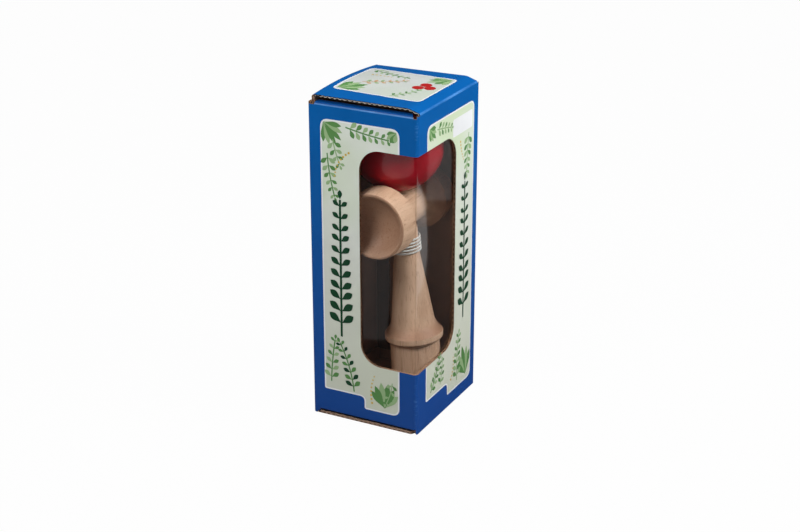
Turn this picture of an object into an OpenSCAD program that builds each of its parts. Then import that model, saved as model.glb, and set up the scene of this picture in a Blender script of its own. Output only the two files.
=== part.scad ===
// Cup and ball toy standing in its window carton, in millimetres, with +Z up.
// The origin is the middle of the carton's underside and the front panel faces -Y.
// The window wraps round the upright fold between the front panel and the right panel.
// Heights on the toy run along its own axis, up from the underside of its foot.

/* [Ball] */
// Diameter of the ball
ball_d = 60; // [54:0.5:64]
// Radius of the mouth of the ball's hole
ball_mouth_r = 11.5; // [10.5:0.25:12.5]
// Radius of the inner end of the ball's hole
ball_hole_end_r = 7; // [6:0.25:8.5]
// Radius of the round mouth of the string hole on top of the ball
string_mouth_r = 3; // [2.2:0.1:4]

/* [Handle] */
// Radius of the foot
foot_r = 17.3; // [16:0.1:18]
// Radius of the barrel just under the collar
barrel_r = 16; // [14:0.1:17.5]
// Height of the barrel, from the foot to the underside of the collar
barrel_h = 40.5; // [30:0.5:48]
// Radius of the collar
collar_r = 19; // [17.8:0.1:21]
// Height of the collar
collar_h = 5.5; // [4:0.1:8]
// Height of the rounded lower edge of the collar
collar_round = 2.2; // [1:0.1:3]
// Height of the hollow flare above the collar
flare_h = 9; // [6:0.5:14]
// Radius of the grip where the flare ends
grip_r = 13.9; // [11:0.1:16]
// Length of the tapered grip
grip_l = 45; // [35:0.5:60]
// Radius of the neck that the string is wound on
neck_r = 8.2; // [7.9:0.1:9]
// Length of the neck, up to the shoulder that carries the cross-piece
neck_l = 17; // [16:0.5:22]
// Radius of the tenon that passes through the cross-piece
tenon_r = 7.5; // [6:0.1:7.7]
// Length of the spike above the axis of the cross-piece
spike_l = 46.5; // [42:0.5:48]
// Length of the straight tenon above the axis of the cross-piece
tenon_l = 13; // [11:0.5:16]
// Radius of the rounded tip of the spike
spike_tip_r = 3; // [2:0.1:4]
// Radius of the shallow cup in the foot
foot_cup_r = 13.5; // [11:0.1:14.5]
// Depth of the shallow cup in the foot
foot_cup_depth = 5; // [3:0.1:8]
// Bevel on the turned edges
edge = 0.8; // [0.3:0.1:1.2]

/* [Cross-piece] */
// Reach of the big cup's rim from the axis of the handle
big_reach = 40; // [36:0.5:44]
// Reach of the small cup's rim from the axis of the handle
small_reach = 36; // [32:0.5:40]
// Radius of the waist
waist_r = 12.2; // [11:0.1:14]
// Length of the straight waist on each side of the handle's axis
waist_l = 9.2; // [9.1:0.1:11]
// Radius of the big cup's rim
big_rim_r = 21; // [19:0.1:24]
// Radius of the small cup's rim
small_rim_r = 18.8; // [17:0.1:21]
// Swell of a cup's wall behind its rim
cup_belly = 1.3; // [0.5:0.1:2]
// Length of a cup's swelling wall
cup_wall_l = 15; // [11:0.5:18]
// Width of the flat lip round a bowl
cup_lip = 0.9; // [0.6:0.1:2]
// Depth of the big bowl
big_bowl_depth = 11.5; // [6:0.1:13]
// Depth of the small bowl
small_bowl_depth = 9; // [6:0.1:12]

/* [String] */
// Diameter of the string
string_d = 1.4; // [1:0.1:1.6]
// Turns wound on the neck
turns = 5; // [3:1:5]
// Rise of the winding for each turn
winding_pitch = 2.1; // [2:0.1:2.4]
// Diameter of the bead that keeps the string in the ball
bead_d = 7; // [5:0.1:9]
// Diameter of the knots
knot_d = 3.4; // [2.8:0.1:4]

/* [Carton] */
// Thickness of the corrugated board
board = 1.5; // [1:0.1:2]
// Outside radius of the upright folds
fold_r = 2.5; // [2.3:0.1:4]
// Room left and right of the ball, when the ball is in the middle
ball_side_gap = 6; // [5:0.5:12]
// Room between the big cup's rim and the front panel
cup_gap = 2; // [1:0.1:6]
// Room between the top of the ball and the level of the dust flaps
head_room = 2.5; // [1.4:0.1:10]
// Room between the foot and the right panel
foot_wall_gap = 0.7; // [0.5:0.1:3]
// Lean of the toy towards the left panel, in degrees
lean = 5.6; // [0:0.1:6]
// Width of the glue flap
glue_w = 9; // [6:0.5:14]
// Distance of the glue flap's ends from the creases
glue_end_gap = 8; // [4:0.5:20]

/* [Window] */
// Width of the window on the front panel
window_front = 39.5; // [30:0.5:48]
// Width of the window on the right panel
window_side = 53.5; // [40:0.5:60]
// Height of the window's lower edge
window_bottom = 42; // [30:0.5:60]
// Height of the window
window_h = 143; // [110:0.5:150]
// Corner radius of the window
window_r = 14; // [4:0.5:16]
// Thickness of the clear film
film_t = 0.25; // [0.2:0.05:0.5]
// Overlap of the film behind the window's edge
film_lap = 8; // [4:0.5:12]

/* [Lids and flaps] */
// Set-back of the lid's raw edges from the front and back panels
lid_inset = 3.4; // [2.6:0.1:6]
// Set-back of the bottom lid's raw edges from the front and back panels
bottom_inset = 1; // [0.5:0.1:3]
// Width of the sloping strip beside the lid's crease
lid_ramp = 6; // [4:0.5:12]
// Rise of the lid over that strip
lid_rise = 2; // [1:0.1:3.5]
// Further rise of the lid up to its tuck flap
lid_crown = 0.5; // [0.2:0.1:2]
// Length of a tuck flap
tuck_l = 15; // [11:0.5:15.5]
// Lean of a tuck flap into the carton, in degrees
tuck_lean = 10; // [9.5:0.1:12]
// Corner radius of a tuck flap
tuck_r = 8; // [3:0.5:9]
// Room at the sides of a tuck flap
tuck_side_gap = 1; // [0.8:0.1:5]
// Length of a dust flap
dust_l = 32; // [24:0.5:36]
// Slope of a dust flap's edge beside the lid's crease, sideways for each unit of length
dust_slope = 0.55; // [0.55:0.01:0.7]
// Distance of a dust flap from the right panel, at its crease
dust_root_gap = 1.5; // [1.2:0.1:6]
// Distance of a dust flap from the left panel, where the tuck flap goes in
dust_tuck_gap = 3.5; // [3.2:0.1:8]
// Corner radius of a dust flap
dust_r = 6; // [2:0.5:8]
// Room between the bottom lid and the dust flaps above it
flap_gap = 0.5; // [0.3:0.1:1.5]

/* [Hidden] */
$fn = 96;

// Clearances of the fits
turned_fit = 0.1;
seat_gap = 0.3;
string_clear = 0.6;
winding_clear = 0.3;
tuck_clear = 0.3;
knot_clear = 0.3;
spike_gap = 1;
past = 1;

// Heights along the toy's axis
collar_top = barrel_h + collar_h;
grip_low = collar_top + flare_h;
neck_low = grip_low + grip_l;
shoulder_s = neck_low + neck_l;
bore_r = tenon_r + turned_fit;
cross_s = shoulder_s + cross_r(neck_r) + seat_gap;
spike_s = cross_s + spike_l;
knot_s = spike_s + spike_gap + knot_d / 2;
knot_top = knot_s + knot_d / 2 - edge / 2;
bead_s = knot_top + knot_clear + bead_d / 2;
hole_end_s = bead_s + bead_d / 2 + knot_clear;
mouth_drop = sqrt(pow(ball_d / 2, 2) - pow(ball_mouth_r, 2));
ball_s = cross_s + seat_gap + max([for (i = [0:30])
    seat_rise(ball_mouth_r + (ball_d / 2 - ball_mouth_r) * i / 30)]);

// Carton sizes that follow the toy
carton_w = ball_d + 2 * (ball_side_gap + board);
carton_d = 2 * (big_reach + cup_gap + board);
floor_z = 2 * board + flap_gap;
toy_x = carton_w / 2 - board - foot_wall_gap - foot_r;
toy_z = floor_z + seat_gap + foot_r * sin(lean);
panel_top = toy_z + ball_s * cos(lean) + ball_d / 2 + head_room;
hinge_z = panel_top + board;
lid_end_x = -carton_w / 2 + board + tuck_clear + board;
lid_end_z = hinge_z + lid_rise + lid_crown;
left_top = hinge_z - flap_gap;
lid_half = carton_d / 2 - lid_inset;
bottom_half = carton_d / 2 - bottom_inset;
tuck_half = carton_d / 2 - board - tuck_side_gap;
dust_right = carton_w / 2 - board - dust_root_gap;
dust_left = -carton_w / 2 + board + dust_tuck_gap;

// String route, in the toy's own frame
string_r = string_d / 2;
winding_r = neck_r + winding_clear + string_r;
winding_start = 165;
winding_drop_h = 6;
winding_top = shoulder_s - winding_drop_h;
loop_rings = 24;
loop_sides = 6;
tube_sides = 8;
route_steps = 2;
anchor_depth = 0.6;
anchor_x = -anchor_depth * tenon_r;
// From the string hole down to the winding, measured from the middle of the cross-piece
tail_points = [[-8.5, 0, 0.2], [-12.5, 0, 0.2], [-15.6, 0, -0.7], [-16.8, -0.4, -3.5],
               [-16.2, -1.6, -6.9], [-14.2, -2.8, -10.3], [-11.8, -2.9, -13.9], [-9.9, -1.2, -16.9]];
// From the winding up past the cross-piece, measured from the middle of the cross-piece
rise_points = [[-8.5, 5.4, -29.4], [-9.2, 7.2, -28.3], [-10.2, 8.4, -25.9], [-11.4, 8.8, -22.1],
               [-12.8, 8.6, -17.5], [-14.4, 8.2, -11.5], [-15.8, 7.8, -5.5], [-16.8, 7.4, 0.5],
               [-18, 7, 6.5], [-20.2, 6.8, 12.5], [-23, 6.4, 19.1]];
// Round the ball and into its top, measured from its middle in diameters of the ball
round_points = [[-0.44, 0.097, -0.265], [-0.493, 0.083, -0.148], [-0.517, 0.073, -0.021],
                [-0.51, 0.063, 0.102], [-0.475, 0.053, 0.219], [-0.413, 0.043, 0.322],
                [-0.323, 0.033, 0.412], [-0.217, 0.023, 0.479],
                [-0.117, 0.012, 0.515], [-0.053, 0.005, 0.524], [-0.015, 0.002, 0.509], [0, 0, 0.469],
                [0, 0, 0.412], [0, 0, 0.329]];

// Radius of the cross-piece at a distance from the handle's axis, towards one of its cups
function cup_r(along, reach, rim_r) =
    let (wall_low = reach - cup_wall_l, swell = rim_r + cup_belly)
    along < waist_l ? waist_r :
    along < wall_low ? waist_r + (swell - waist_r) * pow((along - waist_l) / (wall_low - waist_l), 1.7) :
    swell - cup_belly * pow((along - wall_low) / cup_wall_l, 2);

// Radius of the cross-piece on its fuller side, which the ball and the shoulder meet
function cross_r(along) =
    max(cup_r(along, big_reach, big_rim_r), cup_r(along, small_reach, small_rim_r));

// Height of the ball's centre over the cross-piece's axis, if they met at a distance from the handle's axis
function seat_rise(along) = cross_r(along) + sqrt(pow(ball_d / 2, 2) - pow(along, 2));

// Outline of one half of the cross-piece, from the straight waist to the lip of a cup
function cup_outline(reach, rim_r) =
    let (steps = 16, wall_low = reach - cup_wall_l, end = reach - edge / 2)
    concat([for (i = [0:steps]) let (along = waist_l + (wall_low - waist_l) * i / steps)
                [cup_r(along, reach, rim_r), along]],
           [for (i = [1:steps / 2]) let (along = wall_low + (end - wall_low) * i * 2 / steps)
                [cup_r(along, reach, rim_r), along]],
           [[rim_r - edge / 2, reach], [0, reach]]);

// Radius of the handle at a height on its grip and on the flare that runs into the collar
function taper_r(s) = neck_r + (grip_r - neck_r) * (neck_low - s) / grip_l;
function flare_r(s) =
    let (u = (s - collar_top) / flare_h)
    taper_r(s) + (collar_r - taper_r(collar_top)) * pow(1 - u, 2.5);

// Points along an arc
function arc(centre, r, from, to, steps) =
    [for (i = [0:steps]) let (a = from + (to - from) * i / steps) centre + r * [cos(a), sin(a)]];

// Radius of the sphere that hollows a bowl of a given mouth and depth
function bowl_r(mouth, depth) = (mouth * mouth + depth * depth) / (2 * depth);

// Smooth curve through a list of points
function unit(v) = v / norm(v);
function curve_at(p, i, u) =
    let (a = p[max(i - 1, 0)], b = p[i], c = p[i + 1], d = p[min(i + 2, len(p) - 1)])
    0.5 * (2 * b + (c - a) * u + (2 * a - 5 * b + 4 * c - d) * u * u + (3 * b - a - 3 * c + d) * u * u * u);
function curve(p, steps) =
    concat([for (i = [0:len(p) - 2], k = [0:steps - 1]) curve_at(p, i, k / steps)], [p[len(p) - 1]]);

// Directions of a route, with its two ends given
function directions(p, first, last) =
    [for (i = [0:len(p) - 1]) i == 0 ? first : i == len(p) - 1 ? last : unit(p[i + 1] - p[i - 1])];
function across(d, v) = unit(v - d * (v * d));
function frames(d, v) =
    [for (i = 0, n = across(d[0], v); i < len(d); i = i + 1, n = across(d[min(i, len(d) - 1)], n)) n];
function route_length(p) =
    len(p) < 2 ? 0 :
    [for (i = [1:len(p) - 1]) norm(p[i] - p[i - 1])] * [for (i = [1:len(p) - 1]) 1];

// Winding on the neck, from its top turn down
function winding_at(k) =
    let (a = winding_start - 360 * k / loop_rings)
    [winding_r * cos(a), winding_r * sin(a), winding_top - winding_pitch * k / loop_rings];
winding_count = turns * loop_rings;
winding_in = unit(winding_at(1) - winding_at(0));
winding_out = unit(winding_at(winding_count) - winding_at(winding_count - 1));
winding_first = winding_at(0) - string_d * winding_in;
winding_last = winding_at(winding_count) + string_d * winding_out;
winding_route = concat([winding_first], [for (k = [0:winding_count]) winding_at(k)], [winding_last]);
tail_first = [anchor_x - knot_d / 2 + edge / 2, 0, cross_s];
tail_route = curve(concat([tail_first], [for (p = tail_points) p + [0, 0, cross_s]], [winding_first]), route_steps);
lead_route = curve(concat([winding_last], [for (p = rise_points) p + [0, 0, cross_s]],
                          [for (p = round_points) p * ball_d + [0, 0, ball_s]], [[0, 0, knot_top]]), route_steps);

// Least gap of the winding to itself, measured between points half a turn or more apart
winding_gap = min([for (i = [0:winding_count], j = [i + loop_rings / 2:1:winding_count])
    norm(winding_at(i) - winding_at(j))]) - string_d;
echo(winding_gap = winding_gap);
echo(string_length = route_length(tail_route) + route_length(winding_route) + route_length(lead_route));
echo(carton = [carton_w, carton_d, lid_end_z + board], toy = [toy_x, toy_z], ball_s = ball_s, cross_s = cross_s);
echo(hinge_z = hinge_z, panel_top = panel_top, lid_end = [lid_end_x, lid_end_z], spike_s = spike_s);

// Colours
printed_blue = [0.05, 0.33, 0.66];
kraft = [0.6, 0.46, 0.35];
beech = [0.8, 0.64, 0.5];
lacquer_red = [0.62, 0.06, 0.12];
cotton = [0.93, 0.93, 0.9];
clear_film = [0.85, 0.9, 0.95, 0.3];

// Tube swept along a route, closed at both ends
module tube(route, first, last, sides) {
    dirs = directions(route, first, last);
    normals = frames(dirs, [0.3, 0.2, 1]);
    rings = len(route);
    points = concat(
        [for (i = [0:rings - 1], k = [0:sides - 1])
            let (a = 360 * k / sides, n = normals[i], m = cross(dirs[i], n))
            route[i] + string_r * (cos(a) * n + sin(a) * m)],
        [route[0], route[rings - 1]]);
    sides_of_tube = [for (i = [0:rings - 2], k = [0:sides - 1])
        let (a = i * sides + k, b = i * sides + (k + 1) % sides)
        each [[a, a + sides, b], [b, a + sides, b + sides]]];
    start_cap = [for (k = [0:sides - 1]) [k, (k + 1) % sides, rings * sides]];
    low = (rings - 1) * sides;
    end_cap = [for (k = [0:sides - 1]) [low + (k + 1) % sides, low + k, rings * sides + 1]];
    polyhedron(points, concat(sides_of_tube, start_cap, end_cap));
}

// Places the toy's own frame in the carton
module on_toy() {
    translate([toy_x, 0, toy_z]) rotate([0, -lean, 0]) children();
}

// Rectangle with round corners
module round_rect(w, d, r) {
    square([w - 2 * r, d], center = true);
    square([w, d - 2 * r], center = true);
    for (x = [-1, 1], y = [-1, 1]) translate([x * (w / 2 - r), y * (d / 2 - r)]) circle(r);
}

// Plan of the folded sleeve, or of a thinner skin lying inside it
module sleeve_plan(inset, thickness) {
    difference() {
        round_rect(carton_w - 2 * inset, carton_d - 2 * inset, fold_r - inset);
        round_rect(carton_w - 2 * (inset + thickness), carton_d - 2 * (inset + thickness),
                   fold_r - inset - thickness);
    }
}

// One of the four panels of the sleeve, cut at the middle of its two upright folds
module sleeve_panel(turn, width, reach, low, high) {
    mitre = 2 * fold_r;
    half = width / 2 + past;
    inner = half - past - mitre;
    translate([0, 0, low]) linear_extrude(high - low) intersection() {
        sleeve_plan(0, board);
        rotate(turn) polygon([[-half, -reach - past], [half, -reach - past],
                              [inner, -reach + mitre], [-inner, -reach + mitre]]);
    }
}

// Window opening seen square on, from the fold towards the closed side
module window_outline(width) {
    difference() {
        square([width + past, window_h]);
        for (y = [0, 1]) translate([width + past - window_r, y * window_h]) mirror([0, y])
            difference() {
                translate([0, -past]) square([window_r + past, window_r + past]);
                translate([0, window_r]) circle(window_r);
            }
    }
}

module front_window() {
    translate([carton_w / 2 + past, -carton_d / 2 + mid_board(), window_bottom]) rotate([90, 0, 0])
        mirror([1, 0, 0]) linear_extrude(2 * fold_r + 2 * board, center = true) window_outline(window_front);
}

module side_window() {
    translate([carton_w / 2 - mid_board(), -carton_d / 2 - past, window_bottom]) rotate([90, 0, 90])
        linear_extrude(2 * fold_r + 2 * board, center = true) window_outline(window_side);
}

function mid_board() = board / 2;

module front_panel() {
    color(printed_blue) difference() {
        sleeve_panel(0, carton_w, carton_d / 2, floor_z, panel_top);
        front_window();
    }
}

module back_panel() {
    color(printed_blue) sleeve_panel(180, carton_w, carton_d / 2, floor_z, panel_top);
}

module right_panel() {
    color(printed_blue) difference() {
        sleeve_panel(90, carton_d, carton_w / 2, 0, hinge_z);
        side_window();
    }
}

module left_panel() {
    color(printed_blue) sleeve_panel(270, carton_d, carton_w / 2, 0, left_top);
}

// Strip of the left panel folded behind the back panel and glued to it
module glue_flap() {
    corner = fold_r - board;
    color(kraft)
        translate([-carton_w / 2 + board + corner, carton_d / 2 - 2 * board, floor_z + glue_end_gap])
        cube([glue_w, board, panel_top - floor_z - 2 * glue_end_gap]);
}

// Clear film bent round the fold, behind both halves of the window
module window_film() {
    strip = 2 * fold_r;
    color(clear_film)
        translate([0, 0, window_bottom - film_lap]) linear_extrude(window_h + 2 * film_lap) intersection() {
            sleeve_plan(board, film_t);
            union() {
                translate([carton_w / 2 - window_front - film_lap, -carton_d / 2])
                    square([window_front + film_lap, strip]);
                translate([carton_w / 2 - strip, -carton_d / 2])
                    square([strip, window_side + film_lap]);
            }
        }
}

// Crease of a folded board: a quarter round at the origin, with the board running off to -X
function crease_outline() = arc([-board, 0], board, 0, 90, 8);

// Lid raised by the spring of the flaps under it: a sloping strip, then a nearly level plate
module lid() {
    crease_x = -board;
    ramp_x = crease_x - lid_ramp;
    end_x = lid_end_x - carton_w / 2;
    end_rise = lid_rise + lid_crown;
    color(printed_blue)
        translate([carton_w / 2, lid_half, hinge_z]) rotate([90, 0, 0]) linear_extrude(2 * lid_half)
        polygon(concat(crease_outline(),
                       [[ramp_x, lid_rise + board], [end_x, end_rise + board], [end_x, end_rise],
                        [ramp_x, lid_rise], [crease_x, 0]]));
}

// Level lid between the two side panels, which stand on the floor beside it, with its corners cut at the crease
module bottom_lid() {
    crease_x = carton_w / 2 - board;
    root_x = crease_x - fold_r;
    root_half = carton_d / 2 - board - fold_r;
    color(printed_blue) linear_extrude(board)
        polygon([[lid_end_x, -bottom_half], [root_x, -bottom_half], [crease_x, -root_half],
                 [crease_x, root_half], [root_x, bottom_half], [lid_end_x, bottom_half]]);
}

// Tuck flap hanging from the origin, which is the lower corner of the lid's end, with +X into the carton
module tuck_flap() {
    drop = tuck_l - board;
    rotate([0, -tuck_lean, 0]) rotate([90, 0, -90]) linear_extrude(board)
        polygon(concat([[-tuck_half, board], [-tuck_half, tuck_r - drop]],
                       arc([-tuck_half + tuck_r, tuck_r - drop], tuck_r, 180, 270, 8),
                       arc([tuck_half - tuck_r, tuck_r - drop], tuck_r, 270, 360, 8),
                       [[tuck_half, board]]));
}

module lid_tuck_flap() {
    color(printed_blue) translate([lid_end_x, 0, lid_end_z]) tuck_flap();
}

module bottom_tuck_flap() {
    color(printed_blue) translate([lid_end_x, 0, board]) mirror([0, 0, 1]) tuck_flap();
}

// Dust flap seen from above, with its crease on the X axis and its tip towards +Y
module dust_outline() {
    tip = dust_right - dust_slope * dust_l;
    lean_angle = atan(dust_slope);
    reach = dust_r * tan((90 - lean_angle) / 2);
    polygon(concat([[dust_left, 0], [dust_right, 0]],
                   arc([tip - reach, dust_l - dust_r], dust_r, 90 - (90 - lean_angle), 90, 8),
                   arc([dust_left + dust_r, dust_l - dust_r], dust_r, 90, 180, 8)));
}

// Dust flap lying on the edge of its panel, with the outer corner of its crease at the origin
module dust_flap() {
    intersection() {
        linear_extrude(board) dust_outline();
        rotate([90, 0, 90]) linear_extrude(carton_w, center = true) mirror([1, 0])
            polygon(concat(crease_outline(), [[-carton_d, board], [-carton_d, 0]]));
    }
}

module top_front_dust_flap() {
    color(kraft) translate([0, -carton_d / 2, panel_top]) dust_flap();
}

module top_back_dust_flap() {
    color(kraft) translate([0, carton_d / 2, panel_top]) mirror([0, 1, 0]) dust_flap();
}

module bottom_front_dust_flap() {
    color(kraft) translate([0, -carton_d / 2, floor_z]) mirror([0, 0, 1]) dust_flap();
}

module bottom_back_dust_flap() {
    color(kraft) translate([0, carton_d / 2, floor_z]) mirror([0, 1, 0]) mirror([0, 0, 1]) dust_flap();
}

// Turned handle: foot with its shallow cup, barrel, collar, grip, neck, tenon and spike in one piece
module handle() {
    flare_steps = 10;
    tip_s = spike_s - spike_tip_r;
    foot_bowl = bowl_r(foot_cup_r, foot_cup_depth);
    color(beech) on_toy() difference() {
        rotate_extrude() polygon(concat(
            [[0, 0], [foot_r - edge, 0], [foot_r, edge], [barrel_r, barrel_h]],
            [for (a = [10:20:90])
                [barrel_r + (collar_r - barrel_r) * sin(a), barrel_h + collar_round * (1 - cos(a))]],
            [[collar_r, collar_top - edge / 2]],
            [for (i = [1:flare_steps]) let (s = collar_top + flare_h * i / flare_steps) [flare_r(s), s]],
            [[neck_r, neck_low], [neck_r, shoulder_s], [tenon_r, shoulder_s], [tenon_r, cross_s + tenon_l]],
            arc([0, tip_s], spike_tip_r, 0, 90, 8)));
        translate([0, 0, foot_cup_depth - foot_bowl]) sphere(foot_bowl);
        translate([anchor_x + knot_d / 2 + knot_clear, 0, cross_s]) rotate([0, -90, 0])
            cylinder(tenon_r + past, r = knot_d / 2 + knot_clear);
    }
}

// Turned cross-piece with the big cup facing the window, bored for the handle and drilled for the string
module cross_piece() {
    small_side = cup_outline(small_reach, small_rim_r);
    color(beech) on_toy() translate([0, 0, cross_s]) difference() {
        rotate([90, 0, 0]) rotate_extrude() polygon(concat(
            cup_outline(big_reach, big_rim_r),
            [for (i = [len(small_side) - 1:-1:0]) [small_side[i].x, -small_side[i].y]]));
        bowl(big_reach, big_rim_r, big_bowl_depth, -1);
        bowl(small_reach, small_rim_r, small_bowl_depth, 1);
        cylinder(4 * waist_r, r = bore_r, center = true);
        rotate([0, -90, 0]) cylinder(waist_r + past, r = string_r + string_clear);
    }
}

module bowl(reach, rim_r, depth, side) {
    r = bowl_r(rim_r - edge / 2 - cup_lip, depth);
    translate([0, side * (reach - depth + r), 0]) sphere(r);
}

// Ball with its tapered hole for the spike and the string hole through its top
module ball() {
    hole_l = hole_end_s - ball_s + mouth_drop;
    color(lacquer_red) on_toy() translate([0, 0, ball_s]) difference() {
        sphere(ball_d / 2);
        translate([0, 0, -mouth_drop]) cylinder(hole_l, ball_mouth_r, ball_hole_end_r);
        translate([0, 0, -ball_d / 2 - past]) cylinder(ball_d / 2 + past - mouth_drop, r = ball_mouth_r);
        cylinder(ball_d, r = string_r + string_clear);
        translate([0, 0, ball_d / 2 - string_mouth_r])
            cylinder(string_mouth_r + past, string_r, string_mouth_r + past);
    }
}

module string_bead() {
    color(cotton) on_toy() translate([0, 0, bead_s]) difference() {
        sphere(bead_d / 2);
        cylinder(2 * bead_d, r = string_r + string_clear / 2, center = true);
    }
}

// Knot that the string enters through a flat face
module knot() {
    intersection() {
        sphere(knot_d / 2);
        translate([0, 0, -edge / 2]) cube(knot_d, center = true);
    }
}

module bead_knot() {
    color(cotton) on_toy() translate([0, 0, knot_s]) knot();
}

module anchor_knot() {
    color(cotton) on_toy() translate([anchor_x, 0, cross_s]) rotate([0, -90, 0]) knot();
}

module string_tail() {
    color(cotton) on_toy() tube(tail_route, [-1, 0, 0], winding_in, tube_sides);
}

module string_winding() {
    color(cotton) on_toy() tube(winding_route, winding_in, winding_out, loop_sides);
}

module string_lead() {
    color(cotton) on_toy() tube(lead_route, winding_out, [0, 0, -1], tube_sides);
}

front_panel();
right_panel();
back_panel();
left_panel();
glue_flap();
window_film();
lid();
lid_tuck_flap();
top_front_dust_flap();
top_back_dust_flap();
bottom_lid();
bottom_tuck_flap();
bottom_front_dust_flap();
bottom_back_dust_flap();
handle();
cross_piece();
ball();
string_bead();
bead_knot();
anchor_knot();
string_tail();
string_winding();
string_lead();
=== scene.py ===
from bisect import bisect_right
from math import atan, cos, dist, hypot, pi, radians, sin, sqrt, tan

import bmesh
import bpy
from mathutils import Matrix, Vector


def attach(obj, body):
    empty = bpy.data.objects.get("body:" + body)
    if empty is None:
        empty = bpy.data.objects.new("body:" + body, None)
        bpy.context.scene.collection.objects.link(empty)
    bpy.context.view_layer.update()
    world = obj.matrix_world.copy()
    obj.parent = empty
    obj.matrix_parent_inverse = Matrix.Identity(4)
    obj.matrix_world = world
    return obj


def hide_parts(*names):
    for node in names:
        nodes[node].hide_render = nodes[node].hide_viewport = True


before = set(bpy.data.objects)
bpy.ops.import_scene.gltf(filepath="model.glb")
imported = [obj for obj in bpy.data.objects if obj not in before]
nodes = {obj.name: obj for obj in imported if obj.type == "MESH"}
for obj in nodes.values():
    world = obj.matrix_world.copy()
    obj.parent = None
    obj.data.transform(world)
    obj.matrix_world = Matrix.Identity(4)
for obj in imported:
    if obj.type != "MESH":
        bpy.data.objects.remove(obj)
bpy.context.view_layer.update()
scene = bpy.context.scene

MM = 0.001
SAME = 1e-4

# Carton
CARTON_W = 75.0
CARTON_D = 87.0
BOARD = 1.5
FOLD_R = 2.5
FOLD_GAP = 0.02
FOLD_EASE = 0.4
FLOOR_Z = 3.5
PANEL_TOP = 208.455
HINGE_Z = PANEL_TOP + BOARD
LEFT_DROP = 0.5
LEFT_TOP = HINGE_Z - LEFT_DROP
FACES = {"X": CARTON_W / 2, "Y": CARTON_D / 2, "Z": HINGE_Z}
HALF_W = CARTON_W / 2 - FOLD_R
HALF_D = CARTON_D / 2 - FOLD_R
CORNER_STEPS = 8
CORNER_FOOT = 1.52
CORNER_END = -34.4
CORNER_RUN = 0.05
GLUE_X = (-35.0, -26.0)
GLUE_Y = CARTON_D / 2 - BOARD
GLUE_GAP = 8.0
GLUE_Z = (FLOOR_Z + GLUE_GAP, PANEL_TOP - GLUE_GAP)

# Window and its film
WINDOW_X = -2.0
WINDOW_Y = 10.0
WINDOW_Z = (42.0, 185.0)
WINDOW_R = 14.0
WINDOW_STEPS = 12
FILM_LAP = 8.0
FILM_T = 0.25
FILM_GAP = 0.02
FILM_COLUMNS = 56
FILM_ROWS = 72

# Slack of the film: how far in from the window's edge and the fold it is full, and each wave's height,
# run round the sleeve, run upward and start
SLACK_EDGE = 16.0
SLACK_FOLD = 36.0
SLACK_WAVES = ((0.08, 11.5, 31.0, 0.0), (0.06, -23.0, 17.0, 1.3))

# Lids and flaps
CREASE_X = CARTON_W / 2 - BOARD
CREASE_TOP = HINGE_Z + BOARD
BEND_STEPS = 6
BEND_EASE = 0.8
LID_HALF = 40.1
LID_RAMP = 6.0
LID_RISE = 2.0
LID_CROWN = 0.5
LID_END_X = -34.2
RAMP_X = CREASE_X - LID_RAMP
RAMP_TOP = CREASE_TOP + LID_RISE
LID_END_TOP = RAMP_TOP + LID_CROWN
BOTTOM_HALF = 43.2
BOTTOM_ROOT = 39.5
TUCK_HALF = 41.0
TUCK_L = 15.0
TUCK_R = 8.0
TUCK_LEAN = radians(10)
TUCK_BEND = 0.6
TUCK_CORNER = 0.05
DUST_L = 32.0
DUST_R = 6.0
DUST_LEFT = -32.5
DUST_RIGHT = 34.5
DUST_SLOPE = 0.55
BLEED = 7.0
# How far a painted shadow runs over the bottom folds' quarter round.
FOLD_SHADOW_RUN = pi / 2 * BOARD

# Bow of the lid, which is highest at BOW_Y
BOW_RISE = 1.1
BOW_DIP = 1.9
BOW_Y = -6.0
BOW_CELL = 5
BOW_REACH = (30, 40)

# Layers of the corrugated board
LINER = 0.3
PAPER = 0.28
FLUTE_PITCH = 3.4
FLUTE_STEPS = 8
FLUTE_LEAST = 4
FLUTE_REACH = 5.0
FLUTE_END = 4.0
FLUTE_INSET = 0.3
WINDOW_INSET = 0.05
# Face marks. The last is for ink run onto a flap, which carries painted shade or a painted shadow.
OUTSIDE, INSIDE, EDGE, FLUTE, HOLLOW, SHADED_INK = range(6)

# Toy, whose own frame runs up its leaning handle
LEAN = radians(5.6)
TOY_X = 18.0
TOY_Z = 5.48818
CROSS_S = 129.5
BALL_S = 171.284
BALL_D = 60.0

# String and its knots
STRING_R = 0.7
STRING_LAY = 4.6
STRING_SIDES = 18
STRING_STEP = 0.55
ROUTE_STEPS = 2
SMOOTH_STEPS = 6
STRANDS = 3
WINDING_R = 9.2
WINDING_START = 165.0
WINDING_TOP = 111.0
WINDING_PITCH = 2.1
WINDING_TURNS = 5
WINDING_STEPS = 24
ANCHOR_X = -4.5
KNOT_HALF = 1.3
KNOT_TOP = 180.0
KNOT_S = KNOT_TOP - KNOT_HALF
KNOT_R = 0.62
KNOT_SWING = 0.34
KNOT_RISE = 0.42
KNOT_STRING_R = 0.62
KNOT_LAY = 4.2
KNOT_SIDES = 15
KNOT_STEPS = 72

# Print: heights over the board, lines and the pale panels
GROUND_LIFT = 0.05
LINE_LIFT = 0.07
MOTIF_LIFT = 0.09
MOTIF_STEP = 0.001
LINE_W = 1.0
PRINT_TOP = 200.0
PRINT_R = 5.0
TAB_H = 8.5
TAB_STEP_R = 4.0
TAB_TIP_R = 1.0
CUT_STEPS = 10

# Leaves, dots and berries. Shares are of a leaf's length, a stem's length or the first dot
FAN_SHRINK = 0.5
STEM_STEPS = 80
STEM_W = 0.14
FIRST_LEAF = 0.1
LEAF_RUN = 0.85
LEAF_W = 0.48
LEAF_TURN = 0.95
LEAF_SHRINK = 0.45
TIP_L = 0.6
TIP_W = 0.3
DOT_R = 0.8
DOT_SHRINK = 0.4
DOT_SIDES = 10
BERRIES = ((15.5, 0.5), (22.5, 3.0), (17.5, 8.0))
BERRY_R = 3.7
BERRY_SIDES = 24
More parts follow.
